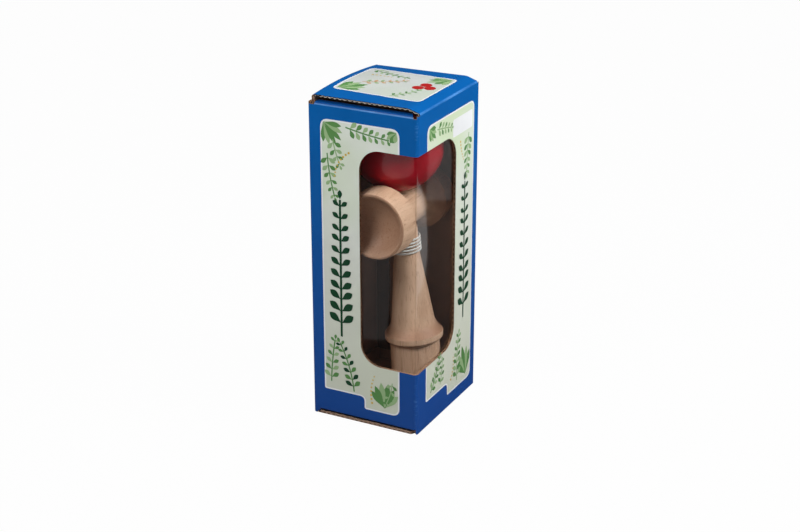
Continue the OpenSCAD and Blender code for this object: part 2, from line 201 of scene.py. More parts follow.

# Wear, painted crease highlights and the film's bend: depths below the outer face at which they start and
# are full
FOLD_WEAR = (2.6, 0.6)
HINGE_WEAR_AND_HIGHLIGHT = (1.1, 0.3)
FLAP_HIGHLIGHT = (0.35, 0.1)
FILM_BEND = (FOLD_R, FOLD_R - 0.3)

# Camera of the photograph, with angles in degrees
CAMERA_TARGET = (2.69, 1.39, 93.3)
CAMERA_DISTANCE = 1067.5
CAMERA_AZIMUTH = 27.33
CAMERA_ELEVATION = 22.20
CAMERA_LENS = 74.7

# Light. The film cards are small pale patches that the film mirrors
FLOOR_HALF = 6000.0
FLOOR_GLOW = 0.98
ROOM_LIGHT = 0.16
ROOM_GLOSS = 0.04
FILM_MIRROR = 0.04
WHITE = (1, 1, 1, 1)
LIGHT_TARGET = (0, 0, 0.1)

# Each light's azimuth and elevation in degrees, distance and size in metres, power, roll and shape
LIGHTS = {
    "right_light": (99, 41, 0.75, (0.24, 0.24), 5.3),
    "left_light": (-18, 46, 0.75, (0.3, 0.3), 3.7),
    "top_light": (10, 84, 1.4, (1.1, 1.1), 1.1),
    "side_film_card": (137.8, -16.6, 0.247, (0.046, 0.112), 0.0062, -9.4, "ELLIPSE"),
    "upper_film_card": (145.9, -2.5, 0.248, (0.02, 0.056), 0.0006),
    "front_film_card": (-18, 0.9, 0.256, (0.026, 0.026), 0.0005, 0, "DISK"),
    "low_film_card": (-22.2, -22.2, 0.259, (0.021, 0.066), 0.0009),
}


def srgb(*values):
    """Linear colour from the usual 0 to 255 values."""
    shares = [v / 255 for v in values]
    return (*[v / 12.92 if v <= 0.04045 else ((v + 0.055) / 1.055) ** 2.4 for v in shares], 1)


def shade(colour, factor):
    return (*[min(1.0, c * factor) for c in colour[:3]], 1)


# Materials
class Nodes:
    """The node tree of a material or a world, with short ways to add and feed nodes."""

    def __init__(self, owner):
        owner.use_nodes = True
        self.tree = owner.node_tree

    def feed(self, socket, value):
        """Gives a socket a constant or what another node puts out."""
        if isinstance(value, bpy.types.NodeSocket):
            self.tree.links.new(value, socket)
        else:
            socket.default_value = value

    def set(self, node, **inputs):
        """Feeds a node's inputs by name, with _ for a space."""
        for name, value in inputs.items():
            self.feed(node.inputs[name.replace("_", " ")], value)

    def add(self, kind, **inputs):
        node = self.tree.nodes.new("ShaderNode" + kind)
        self.set(node, **inputs)
        return node

    def math(self, operation, *values):
        node = self.add("Math")
        node.operation = operation
        for socket, value in zip(node.inputs, values):
            self.feed(socket, value)
        return node.outputs["Value"]


class Surface(Nodes):
    """The nodes of a new material, with the places on its object."""

    def __init__(self, name):
        self.material = bpy.data.materials.new(name)
        super().__init__(self.material)
        self.shader = self.tree.nodes["Principled BSDF"]
        self.output = self.tree.nodes["Material Output"]
        coordinates = self.add("TexCoord").outputs
        self.places = coordinates["Object"]
        self.normal = coordinates["Normal"]

    def stretched(self, scale, turn=(0, 0, 0)):
        """The places on the object, scaled and turned."""
        return self.add("Mapping", Vector=self.places, Scale=scale, Rotation=turn).outputs["Vector"]

    def noise(self, scale, detail=3, roughness=0.5, distortion=0.0, vector=None):
        vector = self.places if vector is None else vector
        node = self.add("TexNoise", Vector=vector, Scale=scale, Detail=detail, Roughness=roughness,
                        Distortion=distortion)
        return node.outputs["Fac"]

    def mix(self, factor, a, b):
        node = self.add("Mix")
        node.data_type = "RGBA"
        for place, value in ((0, factor), (6, a), (7, b)):
            self.feed(node.inputs[place], value)
        return node.outputs[2]

    def ramp(self, value, *stops):
        node = self.add("ValToRGB", Fac=value)
        for element, (place, colour) in zip(node.color_ramp.elements, stops):
            element.position = place
            element.color = colour
        return node.outputs["Color"]

    def rise(self, value, start, full, least=0.0, most=1.0):
        """Grey that rises from least to most between two values."""
        return self.ramp(value, (start, (least, least, least, 1)), (full, (most, most, most, 1)))

    def span(self, value, low, high):
        """Brings numbers from 0 to 1 to another range."""
        return self.add("MapRange", Value=value, To_Min=low, To_Max=high).outputs["Result"]

    def reach(self, vector, axis):
        """How far a vector goes along X, Y or Z, either way."""
        return self.math("ABSOLUTE", self.add("SeparateXYZ", Vector=vector).outputs[axis])

    def bump(self, height, strength, distance):
        node = self.add("Bump", Height=height, Strength=strength, Distance=distance * MM)
        self.set(self.shader, Normal=node.outputs["Normal"])

    def paint(self, colour, rough, **inputs):
        self.set(self.shader, Base_Color=colour, Roughness=rough, **inputs)
        return self.material

    def overlay(self, share, under, over):
        """Sends two shaders to the surface, the second with a given share."""
        node = self.add("MixShader", Fac=share)
        self.feed(node.inputs[1], under.outputs[0])
        self.feed(node.inputs[2], over.outputs[0])
        self.set(self.output, Surface=node.outputs["Shader"])
        return self.material


def near_face(n, axis, start, full):
    """Rises from 0 to 1 between two depths below the carton's outer face."""
    low, high = (FACES[axis] - start) * MM, (FACES[axis] - full) * MM
    node = n.add("MapRange", Value=n.reach(n.places, axis), From_Min=low, From_Max=high)
    node.interpolation_type = "SMOOTHSTEP"
    return node.outputs["Result"]


def near_fold(n, start, full):
    """Rises from 0 to 1 towards the upright folds."""
    return n.math("MULTIPLY", near_face(n, "X", start, full), near_face(n, "Y", start, full))


def fold_wear(n):
    """Short scuffs across the upright folds, strongest on the outside of the bend."""
    scuffs = n.noise(900, 3, 0.6, vector=n.stretched((0.25, 0.25, 1)))
    patches = n.noise(26, 2)
    marks = n.math("MULTIPLY", n.rise(scuffs, 0.52, 0.68), n.rise(patches, 0.46, 0.7, 0.0, 0.4))
    return n.math("MULTIPLY", near_fold(n, *FOLD_WEAR), marks)


def crease_scuff_and_highlight(axis, depths, least, most):
    """A pale line along a crease, to be added to a material: rubbed wear with a painted highlight on the
    lid's hinge, a painted highlight alone on the dust flaps' folds.
    """
    def wear_and_highlight(n):
        patches = n.noise(60, vector=n.stretched((1, 0.5, 1)))
        return n.math("MULTIPLY", near_face(n, axis, *depths), n.rise(patches, 0.35, 0.65, least, most))
    return wear_and_highlight


def ink_material(name, colour, rough, across="Z", wear_and_highlight=None, wash=None, foot=None):
    """Printed coated paper, with the flutes faintly through it."""
    n = Surface(name)
    cloud = n.noise(38)
    fibre = n.noise(2600, 2)
    base = n.ramp(cloud, (0.3, shade(colour, 0.93)), (0.7, shade(colour, 1.05)))
    tone = n.mix(n.span(fibre, 0.0, 0.16), base, shade(colour, 0.8))
    if wash:
        patches = n.noise(17, 2, vector=n.stretched((1, 1, 0.7)))
        tone = n.mix(n.rise(patches, 0.4, 0.62), tone, wash)
    # Painted shade: the ink darkens towards the carton's foot, where less light falls.
    if foot:
        tone = n.mix(near_face(n, "Z", 0, HINGE_Z), tone, foot)
    # Pale scuffs, and along the creases a painted highlight as well.
    if wear_and_highlight:
        tone = n.mix(wear_and_highlight(n), tone, PALE_WEAR_AND_HIGHLIGHT)
    pitch = 2 * pi / (BAND_TURN * FLUTE_PITCH * MM)
    wave = n.add("TexWave", Vector=n.places, Scale=pitch, Distortion=0.6)
    wave.bands_direction = across
    flutes = n.math("MULTIPLY", wave.outputs["Fac"], 0.5)
    n.bump(n.math("MULTIPLY_ADD", fibre, 0.35, flutes), 0.12, 0.1)
    return n.paint(tone, n.span(cloud, rough - 0.05, rough + 0.08), Specular_IOR_Level=0.22)


def board_material(name, colour, speck):
    """Bare brown board with fibres and specks."""
    n = Surface(name)
    cloud = n.noise(55, 4)
    fibre = n.noise(1, 4, 0.65, vector=n.stretched((400, 400, 2600)))
    specks = n.rise(n.noise(1500, 2), 0.66, 0.72)
    base = n.ramp(cloud, (0.25, shade(colour, 0.85)), (0.75, shade(colour, 1.12)))
    streaked = n.mix(n.span(fibre, 0.0, 0.5), base, shade(colour, 0.72))
    n.bump(fibre, 0.25, 0.12)
    return n.paint(n.mix(specks, streaked, speck), n.span(fibre, 0.78, 0.95), Specular_IOR_Level=0.25)


def film_material():
    """Thin clear film: what is behind it shows, under the gloss of its two faces."""
    n = Surface("clear_film")
    n.tree.nodes.remove(n.shader)
    tint = n.mix(near_fold(n, *FILM_BEND), FILM_TINT, FILM_BEND_TINT)
    clear = n.add("BsdfTransparent", Color=tint)
    gloss = n.add("BsdfGlossy", Color=WHITE, Roughness=n.span(n.noise(30), 0.02, 0.06))
    slant = n.add("LayerWeight", Blend=0.5)
    graze = n.math("POWER", slant.outputs["Facing"], 5)
    return n.overlay(n.math("MULTIPLY_ADD", graze, 1 - FILM_MIRROR, FILM_MIRROR), clear, gloss)


def wood_material(name, axis):
    """Bare turned beech: dark flecks along the grain, soft growth bands, deeper end grain."""
    n = Surface(name)
    grain = n.stretched(tuple(GRAIN if a == axis else 1 for a in "XYZ"), (0, LEAN, 0))
    bands = n.noise(160, 3, 0.5, 0.6, grain)
    flecks = n.noise(1000, 3, 0.6, vector=grain)
    base = n.ramp(bands, (0.3, WOOD), (0.62, WOOD_LIGHT))
    base = n.mix(n.span(n.noise(25, 2), 0.0, 0.35), base, WOOD)
    base = n.mix(n.rise(n.reach(n.normal, axis), 0.15, 0.7, 0.0, 0.85), base, WOOD_END)
    fleck = n.math("MULTIPLY", n.rise(flecks, 0.56, 0.7), 0.55)
    n.bump(flecks, 0.12, 0.08)
    return n.paint(n.mix(fleck, base, WOOD_DARK), n.span(flecks, 0.42, 0.62), Specular_IOR_Level=0.35)


def lacquer_material():
    """Deep red gloss lacquer with a little orange peel, over wood."""
    n = Surface("red_lacquer")
    cloud = n.noise(30)
    n.bump(n.noise(420, 2), 0.06, 0.06)
    return n.paint(n.ramp(cloud, (0.3, srgb(164, 6, 26)), (0.7, srgb(192, 13, 36))),
                   n.span(cloud, 0.16, 0.26), Specular_IOR_Level=0.18, Coat_Weight=0.12, Coat_Roughness=0.1)


def cotton_material():
    """White twisted cotton."""
    n = Surface("cotton")
    yarn = n.noise(2600, 3, 0.6)
    base = n.ramp(n.noise(120, 2), (0.3, srgb(226, 224, 216)), (0.7, srgb(246, 245, 240)))
    n.bump(yarn, 0.4, 0.12)
    return n.paint(n.mix(n.span(yarn, 0.0, 0.35), base, srgb(190, 186, 176)),
                   n.span(yarn, 0.8, 0.95), Sheen_Weight=0.25, Specular_IOR_Level=0.2)


# Looks. A band pattern turns through BAND_TURN radians in one unit of its scale
BAND_TURN = 20
GRAIN = 0.05
THIN_INK = 0.36
RICH_INK = 0.34
DULL_INK = 0.6
FILM_TINT = (0.95, 0.955, 0.96, 1)
FILM_BEND_TINT = (0.9, 0.9, 0.9, 1)
WOOD_LIGHT = srgb(228, 191, 160)
WOOD = srgb(207, 167, 135)
WOOD_DARK = srgb(140, 94, 66)
WOOD_END = srgb(170, 126, 98)
BLUE = srgb(0, 90, 163)
# Painted shade: the sleeve's blue darkens to this towards the carton's foot.
FOOT_SHADE_BLUE = srgb(24, 72, 147)
# Painted shade: the top dust flaps' printed blue, darker where the lid overhangs it.
FLAP_SHADE_BLUE = srgb(4, 62, 124)
# Painted shadow: near-black blue over the bottom dust flaps' folds, in the gap above the bottom lid.
FOLD_SHADOW_BLUE = srgb(8, 18, 40)
# Pale blue of scuffs and of painted crease highlights.
PALE_WEAR_AND_HIGHLIGHT = srgb(96, 158, 226)
INKS = {
    "white": srgb(229, 231, 233),
    "mint": srgb(220, 224, 219),
    "pale": srgb(198, 201, 200),
    "sage": srgb(148, 178, 130),
    "leaf": srgb(90, 138, 78),
    "deep": srgb(26, 68, 44),
    "gold": srgb(206, 176, 74),
    "red": srgb(176, 34, 34),
    "tan": srgb(196, 160, 120),
}
RICH_INKS = ("gold", "red")
WASHES = {"mint": srgb(202, 217, 186), "pale": srgb(188, 197, 184)}
# Painted shade: the mint ground darkens to this towards the carton's foot.
FOOT_SHADES = {"mint": srgb(202, 206, 190)}
INK_NAMES = list(INKS)
ink = {}
for key, colour in INKS.items():
    rough = RICH_INK if key in RICH_INKS else THIN_INK
    ink[key] = ink_material("ink_" + key, colour, rough, wash=WASHES.get(key), foot=FOOT_SHADES.get(key))
# The sleeve's blue: scuffs at the upright folds, and painted shade towards its foot.
blue_sleeve = ink_material("ink_blue_sleeve", BLUE, RICH_INK, "Z", fold_wear, foot=FOOT_SHADE_BLUE)
# The lid's blue: rubbed wear with a painted highlight along its hinge crease.
blue_lid = ink_material("ink_blue_lid", BLUE, RICH_INK, "X", crease_scuff_and_highlight("X", HINGE_WEAR_AND_HIGHLIGHT, 0.1, 0.55))
# Top dust flaps' print: painted shade, with a painted highlight line along the fold.
shaded_flap_blue = ink_material("ink_blue_flap", FLAP_SHADE_BLUE, RICH_INK, "X", crease_scuff_and_highlight("Y", FLAP_HIGHLIGHT, 0.45, 0.7))
# Painted shadow over the bottom dust flaps' folds.
fold_shadow_blue = ink_material("ink_blue_fold", FOLD_SHADOW_BLUE, DULL_INK, "X")
edge_board = board_material("edge_board", srgb(164, 121, 90), srgb(110, 80, 58))
inner_board = board_material("inner_board", srgb(190, 160, 142), srgb(130, 104, 88))
# Painted shade: bare kraft darkened to stand for the shade under the lid on the dust flaps.
flap_board = board_material("flap_board", srgb(108, 82, 63), srgb(74, 54, 42))
flute_paper = board_material("flute_paper", srgb(158, 127, 102), srgb(108, 82, 62))
# Painted shade: the top lid's cut edge, darker than the same board's edges elsewhere.
shaded_lid_cut = board_material("shaded_lid_cut", srgb(54, 43, 38), srgb(40, 32, 28))
lid_flute = board_material("lid_flute", srgb(204, 194, 186), srgb(150, 138, 128))
flute_shade = board_material("flute_shade", srgb(44, 32, 25), srgb(34, 25, 20))
clear_film = film_material()
handle_wood = wood_material("handle_wood", "Z")
cross_wood = wood_material("cross_wood", "Y")
red_lacquer = lacquer_material()
cotton = cotton_material()


# Meshes
class Build:
    """Points and faces of one piece, with a material number and a shading choice for each face."""

    def __init__(self):
        self.points = []
        self.faces = []

    def point(self, p):
        self.points.append(p)
        return len(self.points) - 1

    def face(self, corners, mark=0, smooth=False):
        self.faces.append((corners, mark, smooth))

    def make(self, name, materials, closed=True):
        mesh = bpy.data.meshes.new(name)
        mesh.from_pydata([Vector(p) * MM for p in self.points], [], [face[0] for face in self.faces])
        for polygon, face in zip(mesh.polygons, self.faces):
            polygon.material_index, polygon.use_smooth = face[1:]
        for material in materials:
            mesh.materials.append(material)
        if closed:
            bm = bmesh.new()
            bm.from_mesh(mesh)
            bmesh.ops.recalc_face_normals(bm, faces=bm.faces)
            bm.to_mesh(mesh)
            bm.free()
        mesh.update()
        piece = bpy.data.objects.new(name, mesh)
        scene.collection.objects.link(piece)
        return piece


class Path:
    """A folded board seen edge on: points of its printed face, with the outward direction at each."""

    def __init__(self, points, normals=None):
        self.points = points
        self.normals = normals
        self.at = [0.0]
        for a, b in zip(points, points[1:]):
            self.at.append(self.at[-1] + dist(a, b))
        self.end = self.at[-1]

    def between(self, values, t):
        """What values that belong to the points come to at a distance along the path."""
        i = min(max(bisect_right(self.at, t) - 1, 0), len(self.points) - 2)
        k = (t - self.at[i]) / (self.at[i + 1] - self.at[i])
        return [a + (b - a) * k for a, b in zip(values[i], values[i + 1])]

    def place(self, t, depth):
        normal = self.between(self.normals, t)
        size = hypot(*normal)
        return tuple(p - n / size * depth for p, n in zip(self.between(self.points, t), normal))


def evenly(low, high, count):
    """Values from low to high in even steps."""
    return [low + (high - low) * i / count for i in range(count + 1)]


def arc_points(cx, cy, r, first, last, steps):
    """Points of an arc and their outward directions, with angles in degrees."""
    points, normals = [], []
    for degrees in evenly(first, last, steps):
        a = radians(degrees)
        points.append((cx + r * cos(a), cy + r * sin(a)))
        normals.append((cos(a), sin(a)))
    return points, normals


def bend_points(a, b, c):
    """Points of a soft bend from a to c, drawn towards b."""
    return [tuple((1 - k) ** 2 * p + 2 * k * (1 - k) * q + k * k * r for p, q, r in zip(a, b, c))
            for k in evenly(0, 1, BEND_STEPS)]


def corner_lift(distance, r):
    """How far a rounded corner pulls an outline in, at a distance from the outline's end."""
    if distance >= r:
        return 0.0
    return r - sqrt(max(0.0, r * r - (r - max(distance, 0.0)) ** 2))


def corner_stops(r, steps):
    """Distances from an outline's end that cut its rounded corner into even turns."""
    return [r * (1 - cos(a)) for a in evenly(0, pi / 2, steps)]


def in_order(stops):
    """Stops in rising order, with those that fall together taken once."""
    stops = sorted(round(t, 6) for t in stops)
    return [t for i, t in enumerate(stops) if i == 0 or t - stops[i - 1] > SAME]


def add_sheet(build, cells, place, near, far, marks, sharp=True):
    """Adds a thin closed sheet: cells are flat outlines, near and far the depths of its two faces."""
    front, back, edges, rim = {}, {}, {}, {}
    for cell in cells:
        for key in cell:
            if key not in front:
                front[key] = build.point(place(*key, near))
                back[key] = build.point(place(*key, far))
        build.face([front[k] for k in cell], marks[0], True)
        build.face([back[k] for k in reversed(cell)], marks[1], True)
        for a, b in zip(cell, cell[1:] + cell[:1]):
            edges[(a, b)] = True
    for a, b in edges:
        if (b, a) in edges:
            continue
        for key in (a, b):
            if not sharp:
                rim[key] = (front[key], back[key])
            elif key not in rim:
                rim[key] = (build.point(place(*key, near)), build.point(place(*key, far)))
        build.face([rim[a][0], rim[a][1], rim[b][1], rim[b][0]], marks[2])


def add_flutes(build, place, low, high, span):
    """Adds the wavy paper between the liners at a cut edge. span gives its reach along a flute."""
    count = max(FLUTE_LEAST, round((high - low) / FLUTE_PITCH * FLUTE_STEPS))
    stops = evenly(low, high, count)
    middle = BOARD / 2
    swing = middle - LINER - PAPER / 2

    def wavy(w, a, depth):
        return place(w, a, middle + swing * sin(2 * pi * w / FLUTE_PITCH) + depth)

    cells = []
    for w, x in zip(stops, stops[1:]):
        near, far = span(w), span(x)
        for k in range(len(near) - 1):
            cells.append([(w, near[k]), (w, near[k + 1]), (x, far[k + 1]), (x, far[k])])
    add_sheet(build, cells, wavy, -PAPER / 2, PAPER / 2, (FLUTE, FLUTE, FLUTE), sharp=False)


def beside(ends, side, near, far):
    """The reach of flutes beside an edge. ends gives both edges at a height or distance."""
    return lambda w: (ends(w)[side] + near, ends(w)[side] + far)


def layers(outside, inside=None, edge=None, flute=None):
    """Materials of a board, in the order of the face marks."""
    return [outside, inside or inner_board, edge or edge_board, flute or flute_paper, flute_shade]


# Sleeve
def sleeve_path():
    """The sleeve seen from above, from the glued corner by the left, front, right and back panels."""
    corners = [
        (-HALF_W, HALF_D, 135, 180),
        (-HALF_W, -HALF_D, 180, 270),
        (HALF_W, -HALF_D, 270, 360),
        (HALF_W, HALF_D, 0, 90),
        (-HALF_W, HALF_D, 90, 135),
    ]
    points, normals, ends = [], [], []
    for cx, cy, first, last in corners:
        arc = arc_points(cx, cy, FOLD_R, first, last, round(CORNER_STEPS * (last - first) / 90))
        ends.append((len(points), len(points) + len(arc[0]) - 1))
        points += arc[0]
        normals += arc[1]
    return Path(points, normals), ends


sleeve, sleeve_corners = sleeve_path()
FRONT_AT = sleeve.at[sleeve_corners[1][1]]
RIGHT_AT = sleeve.at[sleeve_corners[2][1]]
BACK_AT = sleeve.at[sleeve_corners[3][1]]
FOLDS = [(sleeve.at[a] + sleeve.at[b]) / 2 for a, b in sleeve_corners[1:4]]


# Distances along the sleeve to places on its panels
def front_t(x):
    return FRONT_AT + x + HALF_W


def right_t(y):
    return RIGHT_AT + y + HALF_D


def back_t(x):
    return BACK_AT + HALF_W - x


def sleeve_place(t, z, depth):
    return (*sleeve.place(t, depth), z)


WINDOW_T = (front_t(WINDOW_X), right_t(WINDOW_Y))


def window_heights(t):
    lift = corner_lift(min(t - WINDOW_T[0], WINDOW_T[1] - t), WINDOW_R)
    return WINDOW_Z[0] + lift, WINDOW_Z[1] - lift


def window_ends(z):
    lift = corner_lift(min(z - WINDOW_Z[0], WINDOW_Z[1] - z), WINDOW_R)
    return WINDOW_T[0] + lift, WINDOW_T[1] - lift


def sleeve_cells():
    """The unfolded sleeve as cells of length and height, with the window left out."""
    stops = {*sleeve.at, *FOLDS}
    for a, b in sleeve_corners:
        stops |= {sleeve.at[a] - FOLD_EASE, sleeve.at[b] + FOLD_EASE}
    for x in (DUST_LEFT, CORNER_END - CORNER_RUN, CORNER_END + CORNER_RUN):
        stops |= {front_t(x), back_t(x)}
    for turn in corner_stops(WINDOW_R, WINDOW_STEPS):
        stops |= {WINDOW_T[0] + turn, WINDOW_T[1] - turn}
    stops = in_order(t for t in stops if 0 <= t <= sleeve.end)

    def levels(t):
        low, high = window_heights(t)
        is_raised = front_t(CORNER_END) < t < FOLDS[1] or FOLDS[2] < t < back_t(CORNER_END)
        foot = CORNER_FOOT if is_raised else 0.0
        top = LEFT_TOP if t < front_t(0) else HINGE_Z
        return (foot, FLOOR_Z + FOLD_GAP, low, high, PANEL_TOP, top)

    cells = []
    for a, b in zip(stops, stops[1:]):
        middle = (a + b) / 2
        is_side = middle < FOLDS[0] or FOLDS[1] < middle < FOLDS[2]
        is_open = WINDOW_T[0] < middle < WINDOW_T[1]
        is_corner = FOLDS[0] < middle < front_t(DUST_LEFT) or middle > back_t(DUST_LEFT)
        kept_rows = (is_side or is_corner, True, not is_open, True, is_side)
        za, zb = levels(a), levels(b)
        for row, is_kept in enumerate(kept_rows):
            if is_kept:
                cells.append([(a, za[row]), (b, zb[row]), (b, zb[row + 1]), (a, za[row + 1])])
    return cells


def stops_between(a, b):
    return [a, *[t for t in sleeve.at if a + SAME < t < b - SAME], b]


def make_sleeve():
    build = Build()
    cells = sleeve_cells()
    add_sheet(build, cells, sleeve_place, 0, LINER, (OUTSIDE, HOLLOW, EDGE))
    add_sheet(build, cells, sleeve_place, BOARD - LINER, BOARD, (HOLLOW, INSIDE, EDGE))

    def flutes(low, high, span):
        add_flutes(build, lambda w, t, depth: sleeve_place(t, w, depth), low, high, span)

    low, high = WINDOW_Z
    for side, near, far in ((0, -FLUTE_REACH, 0), (1, 0, FLUTE_REACH)):
        flutes(low + WINDOW_INSET, high - WINDOW_INSET, beside(window_ends, side, near, far))
    wide = stops_between(WINDOW_T[0] + WINDOW_R, WINDOW_T[1] - WINDOW_R)
    flutes(low - FLUTE_REACH, low, lambda z: wide)
    flutes(high, high + FLUTE_REACH, lambda z: wide)
    left = stops_between(0, FOLDS[0])
    flutes(LEFT_TOP - FLUTE_REACH, LEFT_TOP, lambda z: left)
    piece = build.make("carton_sleeve", layers(blue_sleeve))
    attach(piece, "carton")
    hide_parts("front_panel", "right_panel", "back_panel", "left_panel")


# Flat and folded flaps
def make_flap(name, path, reach, to_world, materials, body, node, bleed=0.0):
    """A board along a path from its fold. reach gives its two sides at a distance along the path,
    and bleed is how far the bled ink runs onto it: print with painted shade on the top dust flaps, a
    painted shadow on the bottom folds."""
    stops = in_order([*path.at, bleed, *[path.end - d for d in corner_stops(TUCK_R, CORNER_STEPS)]])

    def place(t, v, depth):
        return to_world(*path.place(t, depth), v)

    cells, printed = [], []
    for a, b in zip(stops, stops[1:]):
        low_a, high_a = reach(a)
        low_b, high_b = reach(b)
        group = printed if b <= bleed + SAME else cells
        group.append([(a, low_a), (b, low_b), (b, high_b), (a, high_a)])
    build = Build()
    add_sheet(build, cells, place, 0, LINER, (OUTSIDE, HOLLOW, EDGE))
    add_sheet(build, printed, place, 0, LINER, (SHADED_INK, HOLLOW, EDGE))
    add_sheet(build, cells + printed, place, BOARD - LINER, BOARD, (HOLLOW, INSIDE, EDGE))
    first = path.at[1] if bleed else FLUTE_INSET
    for side, inward in ((0, FLUTE_REACH), (1, -FLUTE_REACH)):
        add_flutes(build, place, first, path.end - FLUTE_INSET, beside(reach, side, 0, inward))
    end = reach(path.end)
    add_flutes(build, place, path.end - FLUTE_END, path.end, lambda w: end)
    piece = build.make(name, materials)
    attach(piece, body)
    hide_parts(node)
    return piece


def lid_path():
    """The lid seen from the front: its crease, the sloping strip and the nearly level plate."""
    points, normals = arc_points(CREASE_X, HINGE_Z, BOARD, 0, 90, BEND_STEPS)
    bends = [(CREASE_X, CREASE_TOP), (RAMP_X, RAMP_TOP), (LID_END_X, LID_END_TOP)]
    for a, b in zip(bends, bends[1:]):
        size = dist(a, b)
        step = ((b[0] - a[0]) / size, (b[1] - a[1]) / size)
        far = size if b == bends[-1] else size - BEND_EASE
        for k in (BEND_EASE, far):
            points.append((a[0] + step[0] * k, a[1] + step[1] * k))
            normals.append((step[1], -step[0]))
    return Path(points, normals)


def tuck_path(sign):
    """A tuck flap seen from the front, measured from its fold. sign is -1 where it points up."""
    lean_x, lean_z = sin(TUCK_LEAN), cos(TUCK_LEAN)

    def outer(q):
        return (-BOARD * lean_z - q * lean_x, -BOARD * lean_x + q * lean_z - BOARD)

    corner = (outer(BOARD)[0] + TUCK_CORNER, -TUCK_CORNER)
    points = bend_points((0.0, 0.0), corner, outer(-TUCK_BEND))
    points.append(outer(BOARD - TUCK_L))
    last = len(points) - 1
    normals = [(0.0, 1.0)]
    for i in range(1, last + 1):
        a, b = points[i - 1], points[min(i + 1, last)]
        if i == last - 1:
            a = points[i]
        size = dist(a, b)
        normals.append(((b[1] - a[1]) / size, -(b[0] - a[0]) / size))
    return Path([(x, sign * z) for x, z in points], [(x, sign * z) for x, z in normals])


def dust_path():
    """A dust flap seen edge on, from its fold: a quarter round, then straight in."""
    points, normals = arc_points(BOARD, 0, BOARD, 180, 90, BEND_STEPS)
    points += [(BOARD + BEND_EASE, BOARD), (DUST_L, BOARD)]
    normals += [(0.0, 1.0), (0.0, 1.0)]
    return Path(points, normals)


def tuck_reach(path):
    def reach(t):
        half = TUCK_HALF - corner_lift(path.end - t, TUCK_R)
        return (-half, half)
    return reach


def dust_reach(path):
    """The sides of a dust flap: one straight, one sloping, with both corners round."""
    tip = DUST_RIGHT - DUST_SLOPE * DUST_L
    slant = atan(DUST_SLOPE)
    round_x = tip - DUST_R * tan((pi / 2 - slant) / 2)
    round_y = DUST_L - DUST_R

    def reach(t):
        inward = max(0.0, DUST_L - (path.end - t))
        low = DUST_LEFT + corner_lift(path.end - t, DUST_R)
        high = DUST_RIGHT - DUST_SLOPE * inward
        if inward > round_y + DUST_R * sin(slant):
            high = round_x + sqrt(max(0.0, DUST_R**2 - (inward - round_y) ** 2))
        return (low, high)
    return reach


def lid_bow(x, y):
    """How far the lid stands off a flat plate: its tuck end rises in the middle and dips at the back."""
    share = min(1.0, max(0.0, (RAMP_X - x) / (RAMP_X - LID_END_X)))
    off = (y - BOW_Y) / LID_HALF
    return share * (BOW_RISE - BOW_DIP * off * off)


def bow_lid(piece):
    """Cuts a flat piece of the lid into small cells and bows it."""
    bm = bmesh.new()
    bm.from_mesh(piece.data)
    for axis, reach in enumerate(BOW_REACH):
        normal = Vector((0, 0, 0))
        normal[axis] = 1
        for line in range(-reach, reach + 1, BOW_CELL):
            everything = bm.verts[:] + bm.edges[:] + bm.faces[:]
            bmesh.ops.bisect_plane(bm, geom=everything, dist=SAME * MM,
                                   plane_co=normal * line * MM, plane_no=normal)
    for vertex in bm.verts:
        vertex.co.z += lid_bow(vertex.co.x / MM, vertex.co.y / MM) * MM
    bm.to_mesh(piece.data)
    bm.free()


def make_lids():
    cut = layers(blue_lid, edge=shaded_lid_cut, flute=lid_flute)
    lid = make_flap("lid_board", lid_path(), lambda t: (-LID_HALF, LID_HALF),
                    lambda a, b, v: (a, -v, b), cut, "lid", "lid")
    bow_lid(lid)

    def bottom_reach(t):
        half = BOTTOM_ROOT + (BOTTOM_HALF - BOTTOM_ROOT) * min(1.0, t / FOLD_R)
        return (-half, half)

    paler = layers(blue_lid, flute=inner_board)
    bottom = Path([(CREASE_X, 0), (CREASE_X - FOLD_R, 0), (LID_END_X, 0)], [(0, -1)] * 3)
    make_flap("bottom_lid_board", bottom, bottom_reach, lambda a, b, v: (a, v, b),
              paler, "bottom_lid", "bottom_lid")


def make_tuck_flaps():
    for name, sign, z, body, node in (
        ("lid_tuck_board", 1, LID_END_TOP, "lid_tuck", "lid_tuck_flap"),
        ("bottom_tuck_board", -1, 0.0, "bottom_tuck", "bottom_tuck_flap"),
    ):
        path = tuck_path(sign)
        piece = make_flap(name, path, tuck_reach(path), lambda a, b, v, z=z: (LID_END_X + a, -v, z + b),
                          layers(blue_lid), body, node)
        if sign > 0:
            bow_lid(piece)


def make_dust_flaps():
    path = dust_path()
    reach = dust_reach(path)
    # Top flaps get printed blue with painted shade, bottom flaps a painted shadow over the fold.
    for level, up, z, bleed, bled_ink_with_shade in (
        ("top", 1, PANEL_TOP, BLEED, shaded_flap_blue),
        ("bottom", -1, FLOOR_Z, FOLD_SHADOW_RUN, fold_shadow_blue),
    ):
        plain = [*layers(flap_board), bled_ink_with_shade]
        for end, side in (("front", -1), ("back", 1)):
            def to_world(a, b, v, z=z, up=up, side=side):
                return (v, side * (CARTON_D / 2 - a), z + up * b)

            make_flap(f"{level}_{end}_dust_board", path, reach, to_world, plain,
                      f"{level}_{end}_flap", f"{level}_{end}_dust_flap", bleed)


def make_glue_flap():
    path = Path([(GLUE_Z[0], GLUE_Y), (GLUE_Z[1], GLUE_Y)], [(0, 1), (0, 1)])
    make_flap("glue_flap_board", path, lambda t: GLUE_X, lambda a, b, v: (v, b, a),
              layers(inner_board, inside=flap_board), "carton", "glue_flap")


